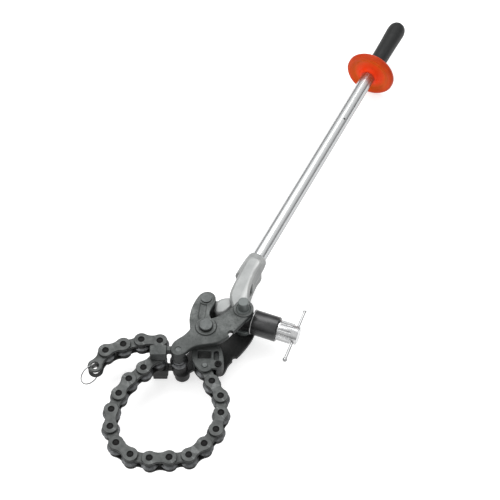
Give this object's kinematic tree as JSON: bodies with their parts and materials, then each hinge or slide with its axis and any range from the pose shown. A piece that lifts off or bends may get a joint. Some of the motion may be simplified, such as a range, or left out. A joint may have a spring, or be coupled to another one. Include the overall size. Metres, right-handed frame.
{
  "type": "pipe cutter",
  "caption": "Chain cutter for cast-iron soil pipe: chain of cutter wheels, two jaws, a feed knob with sliding bar, and a long lever handle with a round hand guard.",
  "frame": {"origin": "the axis of the cut pipe, where it crosses the middle plane of the chain, with the chain closed round the pipe", "axes": "+Z along the pipe's axis and along every pin of the tool; the handle runs out in the XY plane, 63.6 degrees from +X towards +Y; the tool lies on its side on a floor below"},
  "size_m": [0.6458, 1.0852, 0.1165],
  "materials": {
    "chain_steel": "black oxide, satin",
    "wheel_steel": "ground",
    "ring_wire": "satin",
    "jaw_paint": "dark grey enamel on a forging",
    "bolt_steel": "black oxide, satin",
    "bronze": "turned",
    "housing_black": "satin black",
    "knob_plated": "zinc plated",
    "silver_casting": "silver enamel on a casting",
    "tube_plated": "bright plated",
    "guard_plastic": "moulded orange",
    "grip_rubber": "moulded black"
  },
  "bodies": {
    "fixed_jaw": {"jaw_plate_front": "jaw_paint", "jaw_plate_rear": "jaw_paint", "main_pivot_bolt": "bolt_steel", "jaw_tip_axle": "bolt_steel"},
    "pivot_bush": {"pivot_bush": "bronze"},
    "chain_jaw": {"chain_jaw": "jaw_paint", "chain_anchor_pin": "bolt_steel", "rod_end_pin": "bolt_steel"},
    "handle": {"handle_casting": "silver_casting", "handle_tube": "tube_plated", "hand_guard": "guard_plastic", "grip": "grip_rubber"},
    "feed_housing": {"feed_housing": "housing_black"},
    "feed_knob": {"feed_knob": "knob_plated"},
    "t_bar": {"t_bar": "knob_plated"},
    "draw_rod": {"draw_rod": "silver_casting"},
    "jaw_cutter_wheel": {"jaw_cutter_wheel": "wheel_steel"},
    "inner_link_01": {"inner_link_01": "chain_steel"},
    "outer_link_01": {"outer_link_01": "chain_steel"},
    "inner_link_02": {"inner_link_02": "chain_steel"},
    "outer_link_02": {"outer_link_02": "chain_steel"},
    "inner_link_03": {"inner_link_03": "chain_steel"},
    "outer_link_03": {"outer_link_03": "chain_steel"},
    "inner_link_04": {"inner_link_04": "chain_steel"},
    "outer_link_04": {"outer_link_04": "chain_steel"},
    "inner_link_05": {"inner_link_05": "chain_steel"},
    "outer_link_05": {"outer_link_05": "chain_steel"},
    "inner_link_06": {"inner_link_06": "chain_steel"},
    "outer_link_06": {"outer_link_06": "chain_steel"},
    "inner_link_07": {"inner_link_07": "chain_steel"},
    "outer_link_07": {"outer_link_07": "chain_steel"},
    "inner_link_08": {"inner_link_08": "chain_steel"},
    "outer_link_08": {"outer_link_08": "chain_steel"},
    "inner_link_09": {"inner_link_09": "chain_steel"},
    "outer_link_09": {"outer_link_09": "chain_steel"},
    "inner_link_10": {"inner_link_10": "chain_steel"},
    "outer_link_10": {"outer_link_10": "chain_steel"},
    "inner_link_11": {"inner_link_11": "chain_steel"},
    "cutter_wheel_00": {"cutter_wheel_00": "wheel_steel"},
    "cutter_wheel_01": {"cutter_wheel_01": "wheel_steel"},
    "cutter_wheel_02": {"cutter_wheel_02": "wheel_steel"},
    "cutter_wheel_03": {"cutter_wheel_03": "wheel_steel"},
    "cutter_wheel_04": {"cutter_wheel_04": "wheel_steel"},
    "cutter_wheel_05": {"cutter_wheel_05": "wheel_steel"},
    "cutter_wheel_06": {"cutter_wheel_06": "wheel_steel"},
    "cutter_wheel_07": {"cutter_wheel_07": "wheel_steel"},
    "cutter_wheel_08": {"cutter_wheel_08": "wheel_steel"},
    "cutter_wheel_09": {"cutter_wheel_09": "wheel_steel"},
    "cutter_wheel_10": {"cutter_wheel_10": "wheel_steel"},
    "cutter_wheel_11": {"cutter_wheel_11": "wheel_steel"},
    "cutter_wheel_12": {"cutter_wheel_12": "wheel_steel"},
    "cutter_wheel_13": {"cutter_wheel_13": "wheel_steel"},
    "cutter_wheel_14": {"cutter_wheel_14": "wheel_steel"},
    "cutter_wheel_15": {"cutter_wheel_15": "wheel_steel"},
    "cutter_wheel_16": {"cutter_wheel_16": "wheel_steel"},
    "cutter_wheel_17": {"cutter_wheel_17": "wheel_steel"},
    "cutter_wheel_18": {"cutter_wheel_18": "wheel_steel"},
    "cutter_wheel_19": {"cutter_wheel_19": "wheel_steel"},
    "cutter_wheel_20": {"cutter_wheel_20": "wheel_steel"},
    "tail_ring": {"tail_ring": "ring_wire"}
  },
  "joints": [
    {"name": "handle_swing", "type": "hinge", "parent": "fixed_jaw", "child": "handle", "pos_m": [0.136, 0.199, 0], "axis": [0, 0, 1], "range_deg": [-35, 0]},
    {"name": "housing_swing", "type": "hinge", "parent": "handle", "child": "feed_housing", "pos_m": [0.13622, 0.20319, 0], "axis": [0, 0, 1], "range_deg": [-0.5, 35.5]},
    {"name": "knob_turn", "type": "hinge", "parent": "feed_housing", "child": "feed_knob", "pos_m": [0.13622, 0.20319, 0], "axis": [0.937, -0.3493, 0], "range_deg": [0, 540]},
    {"name": "draw_rod_slide", "type": "slide", "parent": "feed_housing", "child": "draw_rod", "axis": [0.937, -0.3493, 0], "range_m": [0, 0.00375]},
    {"name": "t_bar_slide", "type": "slide", "parent": "feed_knob", "child": "t_bar", "axis": [0.3493, 0.937, 0], "range_m": [-0.02, 0.02]},
    {"name": "bush_turn", "type": "hinge", "parent": "fixed_jaw", "child": "pivot_bush", "pos_m": [0.068, 0.16, 0], "axis": [0, 0, 1], "range_deg": [-3.44, 0.1]},
    {"name": "chain_jaw_swing", "type": "hinge", "parent": "pivot_bush", "child": "chain_jaw", "pos_m": [0.068, 0.16, 0], "axis": [0, 0, 1], "range_deg": [-2.35, 0.1]},
    {"name": "jaw_wheel_spin", "type": "hinge", "parent": "fixed_jaw", "child": "jaw_cutter_wheel", "pos_m": [0.019, 0.113, 0], "axis": [0, 0, 1], "continuous": true},
    {"name": "chain_bend_00", "type": "hinge", "parent": "chain_jaw", "child": "inner_link_01", "pos_m": [0.0664, 0.0932, 0], "axis": [0, 0, 1], "range_deg": [0, 20]},
    {"name": "chain_bend_01", "type": "hinge", "parent": "inner_link_01", "child": "outer_link_01", "pos_m": [0.07969, 0.0619, 0], "axis": [0, 0, 1], "range_deg": [0, 6]},
    {"name": "chain_bend_02", "type": "hinge", "parent": "outer_link_01", "child": "inner_link_02", "pos_m": [0.09565, 0.03188, 0], "axis": [0, 0, 1], "range_deg": [0, 26]},
    {"name": "chain_bend_03", "type": "hinge", "parent": "inner_link_02", "child": "outer_link_02", "pos_m": [0.09683, -0.0021, 0], "axis": [0, 0, 1], "range_deg": [0, 16]},
    {"name": "chain_bend_04", "type": "hinge", "parent": "outer_link_02", "child": "inner_link_03", "pos_m": [0.08861, -0.03509, 0], "axis": [0, 0, 1], "range_deg": [0, 22]},
    {"name": "chain_bend_05", "type": "hinge", "parent": "inner_link_03", "child": "outer_link_03", "pos_m": [0.06862, -0.06259, 0], "axis": [0, 0, 1], "range_deg": [0, 14]},
    {"name": "chain_bend_06", "type": "hinge", "parent": "outer_link_03", "child": "inner_link_04", "pos_m": [0.04258, -0.08445, 0], "axis": [0, 0, 1], "range_deg": [0, 32]},
    {"name": "chain_bend_07", "type": "hinge", "parent": "inner_link_04", "child": "outer_link_04", "pos_m": [0.00891, -0.08918, 0], "axis": [0, 0, 1], "range_deg": [0, 6]},
    {"name": "chain_bend_08", "type": "hinge", "parent": "outer_link_04", "child": "inner_link_05", "pos_m": [-0.02507, -0.09037, 0], "axis": [0, 0, 1], "range_deg": [0, 14]},
    {"name": "chain_bend_09", "type": "hinge", "parent": "inner_link_05", "child": "outer_link_05", "pos_m": [-0.05833, -0.0833, 0], "axis": [0, 0, 1], "range_deg": [0, 29]},
    {"name": "chain_bend_10", "type": "hinge", "parent": "outer_link_05", "child": "inner_link_06", "pos_m": [-0.08399, -0.06099, 0], "axis": [0, 0, 1], "range_deg": [0, 28]},
    {"name": "chain_bend_11", "type": "hinge", "parent": "inner_link_06", "child": "outer_link_06", "pos_m": [-0.09617, -0.02925, 0], "axis": [0, 0, 1], "range_deg": [0, 21]},
    {"name": "chain_bend_12", "type": "hinge", "parent": "outer_link_06", "child": "inner_link_07", "pos_m": [-0.09617, 0.00475, 0], "axis": [0, 0, 1], "range_deg": [0, 19]},
    {"name": "chain_bend_13", "type": "hinge", "parent": "inner_link_07", "child": "outer_link_07", "pos_m": [-0.0851, 0.0369, 0], "axis": [0, 0, 1], "range_deg": [0, 10]},
    {"name": "chain_bend_14", "type": "hinge", "parent": "outer_link_07", "child": "inner_link_08", "pos_m": [-0.06862, 0.06663, 0], "axis": [0, 0, 1], "range_deg": [0, 18]},
    {"name": "chain_bend_15", "type": "hinge", "parent": "inner_link_08", "child": "outer_link_08", "pos_m": [-0.04375, 0.08982, 0], "axis": [0, 0, 1], "range_deg": [0, 8]},
    {"name": "chain_bend_16", "type": "hinge", "parent": "outer_link_08", "child": "inner_link_09", "pos_m": [-0.01889, 0.11301, 0], "axis": [0, 0, 1], "range_deg": [-15, 3]},
    {"name": "chain_bend_17", "type": "hinge", "parent": "inner_link_09", "child": "outer_link_09", "pos_m": [-0.01652, 0.14693, 0], "axis": [0, 0, 1], "range_deg": [-60, 0]},
    {"name": "chain_bend_18", "type": "hinge", "parent": "outer_link_09", "child": "inner_link_10", "pos_m": [-0.05043, 0.1493, 0], "axis": [0, 0, 1], "range_deg": [-25, 3]},
    {"name": "chain_bend_19", "type": "hinge", "parent": "inner_link_10", "child": "outer_link_10", "pos_m": [-0.08295, 0.13936, 0], "axis": [0, 0, 1], "range_deg": [-15, 3]},
    {"name": "chain_bend_20", "type": "hinge", "parent": "outer_link_10", "child": "inner_link_11", "pos_m": [-0.11424, 0.12607, 0], "axis": [0, 0, 1], "range_deg": [-36, 3]},
    {"name": "wheel_spin_00", "type": "hinge", "parent": "chain_jaw", "child": "cutter_wheel_00", "pos_m": [0.0664, 0.0932, 0], "axis": [0, 0, 1], "continuous": true},
    {"name": "wheel_spin_01", "type": "hinge", "parent": "outer_link_01", "child": "cutter_wheel_01", "pos_m": [0.07969, 0.0619, 0], "axis": [0, 0, 1], "continuous": true},
    {"name": "wheel_spin_02", "type": "hinge", "parent": "outer_link_01", "child": "cutter_wheel_02", "pos_m": [0.09565, 0.03188, 0], "axis": [0, 0, 1], "continuous": true},
    {"name": "wheel_spin_03", "type": "hinge", "parent": "outer_link_02", "child": "cutter_wheel_03", "pos_m": [0.09683, -0.0021, 0], "axis": [0, 0, 1], "continuous": true},
    {"name": "wheel_spin_04", "type": "hinge", "parent": "outer_link_02", "child": "cutter_wheel_04", "pos_m": [0.08861, -0.03509, 0], "axis": [0, 0, 1], "continuous": true},
    {"name": "wheel_spin_05", "type": "hinge", "parent": "outer_link_03", "child": "cutter_wheel_05", "pos_m": [0.06862, -0.06259, 0], "axis": [0, 0, 1], "continuous": true},
    {"name": "wheel_spin_06", "type": "hinge", "parent": "outer_link_03", "child": "cutter_wheel_06", "pos_m": [0.04258, -0.08445, 0], "axis": [0, 0, 1], "continuous": true},
    {"name": "wheel_spin_07", "type": "hinge", "parent": "outer_link_04", "child": "cutter_wheel_07", "pos_m": [0.00891, -0.08918, 0], "axis": [0, 0, 1], "continuous": true},
    {"name": "wheel_spin_08", "type": "hinge", "parent": "outer_link_04", "child": "cutter_wheel_08", "pos_m": [-0.02507, -0.09037, 0], "axis": [0, 0, 1], "continuous": true},
    {"name": "wheel_spin_09", "type": "hinge", "parent": "outer_link_05", "child": "cutter_wheel_09", "pos_m": [-0.05833, -0.0833, 0], "axis": [0, 0, 1], "continuous": true},
    {"name": "wheel_spin_10", "type": "hinge", "parent": "outer_link_05", "child": "cutter_wheel_10", "pos_m": [-0.08399, -0.06099, 0], "axis": [0, 0, 1], "continuous": true},
    {"name": "wheel_spin_11", "type": "hinge", "parent": "outer_link_06", "child": "cutter_wheel_11", "pos_m": [-0.09617, -0.02925, 0], "axis": [0, 0, 1], "continuous": true},
    {"name": "wheel_spin_12", "type": "hinge", "parent": "outer_link_06", "child": "cutter_wheel_12", "pos_m": [-0.09617, 0.00475, 0], "axis": [0, 0, 1], "continuous": true},
    {"name": "wheel_spin_13", "type": "hinge", "parent": "outer_link_07", "child": "cutter_wheel_13", "pos_m": [-0.0851, 0.0369, 0], "axis": [0, 0, 1], "continuous": true},
    {"name": "wheel_spin_14", "type": "hinge", "parent": "outer_link_07", "child": "cutter_wheel_14", "pos_m": [-0.06862, 0.06663, 0], "axis": [0, 0, 1], "continuous": true},
    {"name": "wheel_spin_15", "type": "hinge", "parent": "outer_link_08", "child": "cutter_wheel_15", "pos_m": [-0.04375, 0.08982, 0], "axis": [0, 0, 1], "continuous": true},
    {"name": "wheel_spin_16", "type": "hinge", "parent": "outer_link_08", "child": "cutter_wheel_16", "pos_m": [-0.01889, 0.11301, 0], "axis": [0, 0, 1], "continuous": true},
    {"name": "wheel_spin_17", "type": "hinge", "parent": "outer_link_09", "child": "cutter_wheel_17", "pos_m": [-0.01652, 0.14693, 0], "axis": [0, 0, 1], "continuous": true},
    {"name": "wheel_spin_18", "type": "hinge", "parent": "outer_link_09", "child": "cutter_wheel_18", "pos_m": [-0.05043, 0.1493, 0], "axis": [0, 0, 1], "continuous": true},
    {"name": "wheel_spin_19", "type": "hinge", "parent": "outer_link_10", "child": "cutter_wheel_19", "pos_m": [-0.08295, 0.13936, 0], "axis": [0, 0, 1], "continuous": true},
    {"name": "wheel_spin_20", "type": "hinge", "parent": "outer_link_10", "child": "cutter_wheel_20", "pos_m": [-0.11424, 0.12607, 0], "axis": [0, 0, 1], "continuous": true},
    {"name": "ring_swing", "type": "hinge", "parent": "inner_link_11", "child": "tail_ring", "pos_m": [-0.13176, 0.09693, 0], "axis": [0, 0, 1], "range_deg": [-60, 30]}
  ],
  "couplings": [
    {"joint": "housing_swing", "follows": "handle_swing", "ratio": -1},
    {"joint": "draw_rod_slide", "follows": "knob_turn", "m_per_rad": 0.00039789},
    {"joint": "bush_turn", "follows": "knob_turn", "ratio": -0.0061876},
    {"joint": "chain_jaw_swing", "follows": "handle_swing", "ratio": 0.064304}
  ]
}
